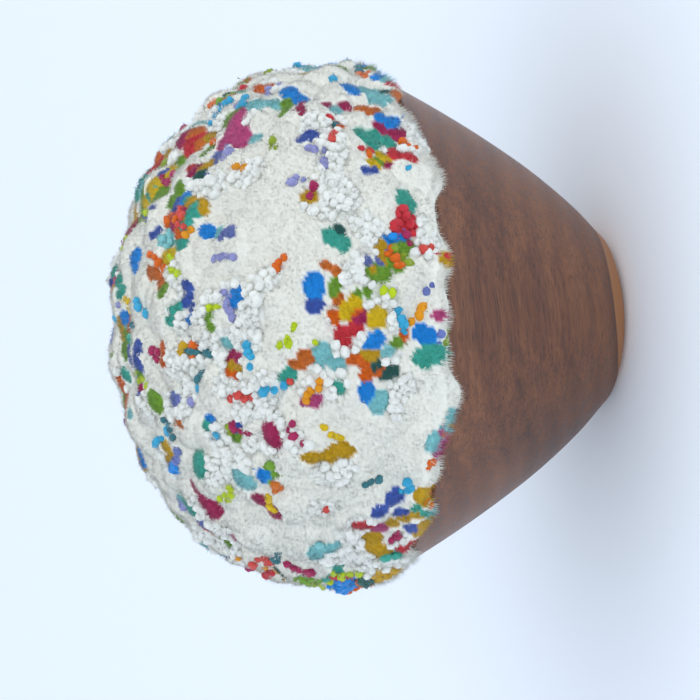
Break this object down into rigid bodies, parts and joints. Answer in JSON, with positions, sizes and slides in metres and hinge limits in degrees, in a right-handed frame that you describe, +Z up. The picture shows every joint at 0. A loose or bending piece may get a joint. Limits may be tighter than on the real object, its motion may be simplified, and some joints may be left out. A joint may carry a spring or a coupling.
{
  "type": "wool fiber sculpture in a wooden bowl frame",
  "caption": "Dome of tufted wool swelling out of a turned wooden bowl, a fiber sculpture that hangs with the bowl's flat foot at its back.",
  "frame": {"origin": "centre of the bowl's flat foot, which is the back of the piece", "axes": "+Z up as it hangs, +Y out of the back along the bowl's axis, the wool dome towards -Y"},
  "size_m": [0.155, 0.1472, 0.1551],
  "materials": {
    "wood": "oiled satin",
    "wool": "looped and cut wool pile"
  },
  "bodies": {
    "root": {"bowl": "wood", "wool_dome": "wool"}
  },
  "joints": []
}
